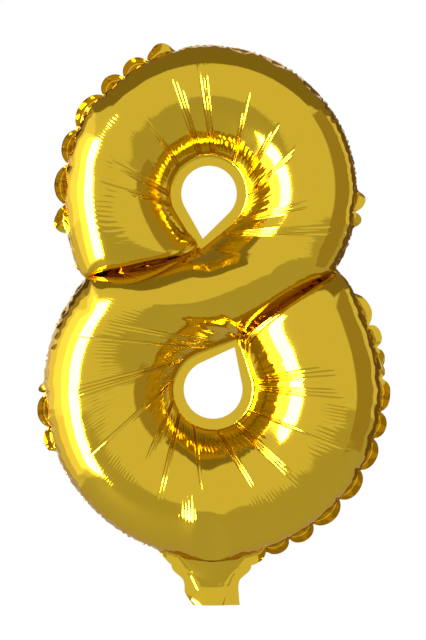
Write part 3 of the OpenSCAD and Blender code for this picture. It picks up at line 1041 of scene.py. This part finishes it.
class BALLOON_OT_valve(Operator):
    """Builds the two films of the valve, from inside the body to the mouth of the tail"""
    bl_idname = "balloon.valve"
    bl_label = "Film valve"

    def execute(self, context):
        props = context.scene.balloon
        material = valve_material(props)
        z = np.linspace(FILM_HIGH[2], LIP_LOW[2], 111)[:, None]
        left, right = tail_sides(z)
        across = np.linspace(LIP_LOW[0], LIP_HIGH[0], 33)[None]
        # below the fold the films narrow and widen with the tail
        x = across * (right - left) / (2 * TAIL_HALF) * (z < 0) + across * (z >= 0)
        below = np.clip(-z / -LIP_LOW[2], 0, 1)
        gape = (-LIP_LOW[1] - 0.05) * below ** 2 * (1 - (x / LIP_HIGH[0]) ** 2)
        above = np.clip((z - 9) / 20, 0, 1)
        swell = 0.5 * above * np.sin(x * 0.35 + z * 0.05) * (1 - (x / LIP_HIGH[0]) ** 2)
        for side, name in ((-1, "front"), (1, "back")):
            y = side * (0.03 + gape) + swell
            points = np.stack(np.broadcast_arrays(x, y, z), -1)
            n, m = points.shape[:2]
            index = np.arange(n * m).reshape(n, m)
            quads = grid_quads(index)[:, [0, 3, 2, 1]]
            if side > 0:
                quads = quads[:, ::-1]
            piece = mesh_object(f"valve_{name}", points.reshape(-1, 3), quads.tolist())
            piece.data.materials.append(material)
            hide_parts(f"valve_{name}_film", f"valve_{name}_lip")
            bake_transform(piece)
        return {"FINISHED"}


def sheet_of(name, place, facing, size):
    """Flat rectangle at place, its face turned along facing, built from two edge directions."""
    n = np.array(facing, float) / np.linalg.norm(facing)
    u = np.cross([0, 0, 1] if abs(n[2]) < 0.9 else [0, 1, 0], n)
    u /= np.linalg.norm(u)
    v = np.cross(n, u)
    corners = [np.array(place) + u * size[0] * a + v * size[1] * b
               for a, b in ((-0.5, -0.5), (0.5, -0.5), (0.5, 0.5), (-0.5, 0.5))]
    return mesh_object(name, np.array(corners) * MM, [[0, 1, 2, 3]], smooth=False)


def soft_box(name, place, target, size, power):
    """Rectangular lamp at place, turned to shine at target."""
    lamp = bpy.data.lights.new(name, "AREA")
    lamp.shape = "RECTANGLE"
    lamp.size, lamp.size_y = size
    lamp.energy = power
    obj = bpy.data.objects.new(name, lamp)
    obj.location = place
    obj.visible_diffuse = False
    aim_at(obj, target)
    bpy.context.scene.collection.objects.link(obj)


def aim_at(obj, target):
    """Turns an object's -Z axis towards target."""
    obj.rotation_euler = (Vector(target) - obj.location).to_track_quat("-Z", "Y").to_euler()


class BALLOON_OT_stage(Operator):
    """Sets the floor, the studio lamps and the camera"""
    bl_idname = "balloon.stage"
    bl_label = "Stage"

    def execute(self, context):
        props = context.scene.balloon
        low, high = (np.array(c) for c in CAD_BOX)
        middle = (low + high) / 2
        place = (middle[0], middle[1], low[2] - FLOOR_DROP)
        floor = sheet_of("floor", place, (0, 0, 1), (FLOOR_SIZE, FLOOR_SIZE))
        material, _, shader = new_material("matte_white_backing")
        shader.inputs["Base Color"].default_value = linear("#D0CFCA")
        shader.inputs["Roughness"].default_value = 0.9
        floor.data.materials.append(material)
        world = bpy.data.worlds.new("studio")
        context.scene.world = world
        world.use_nodes = True
        background = world.node_tree.nodes["Background"]
        background.inputs["Color"].default_value = linear("#FFFFFF")
        background.inputs["Strength"].default_value = 1.0
        for name, place, size, tone in CARDS:
            board, _, shader = new_material(name + "_board")
            shader.inputs["Base Color"].default_value = linear("#000000")
            shader.inputs["Specular IOR Level"].default_value = 0.0
            shader.inputs["Emission Color"].default_value = linear(tone)
            shader.inputs["Emission Strength"].default_value = 1.0
            card = sheet_of(name, np.array(place) + middle, -np.array(place), size)
            card.data.materials.append(board)
            card.visible_camera = card.visible_diffuse = card.visible_shadow = False
        # one soft box at the left, its light falling off in steps towards the back
        for name, turn, size, power in LAMPS:
            a = math.radians(turn)
            away = LAMP_DISTANCE * np.array([-math.sin(a), -math.cos(a), LAMP_DROP])
            soft_box(name, middle + away, middle, size, power)
        context.scene.view_settings.view_transform = "Standard"
        camera = bpy.data.cameras.new("camera")
        camera.sensor_fit = "VERTICAL"
        camera.sensor_height = SENSOR
        tall = (high[2] - low[2]) / VIEW_SHARE
        camera.lens = SENSOR * props.distance / tall
        eye = bpy.data.objects.new("camera", camera)
        eye.location = (middle[0], middle[1] - props.distance, middle[2])
        eye.rotation_euler = (math.pi / 2, 0, 0)
        context.scene.collection.objects.link(eye)
        context.scene.camera = eye
        return {"FINISHED"}


class BALLOON_PT_panel(Panel):
    """Lists the balloon's sizes and the steps that build it"""
    bl_idname = "BALLOON_PT_panel"
    bl_label = "Foil balloon"
    bl_space_type = "VIEW_3D"
    bl_region_type = "UI"
    bl_category = "Balloon"

    def draw(self, context):
        layout = self.layout
        props = context.scene.balloon
        for name in BALLOON_props.__annotations__:
            layout.prop(props, name)
        for step in STEPS:
            layout.operator(step.bl_idname)


STEPS = (BALLOON_OT_panels, BALLOON_OT_valve, BALLOON_OT_stage)
CLASSES = (BALLOON_props, *STEPS, BALLOON_PT_panel)


def register():
    for cls in CLASSES:
        bpy.utils.register_class(cls)
    bpy.types.Scene.balloon = PointerProperty(type=BALLOON_props)


def unregister():
    del bpy.types.Scene.balloon
    for cls in reversed(CLASSES):
        bpy.utils.unregister_class(cls)


def main():
    register()
    for step in STEPS:
        group, name = step.bl_idname.split(".")
        getattr(getattr(bpy.ops, group), name)()


if __name__ == "__main__":
    main()
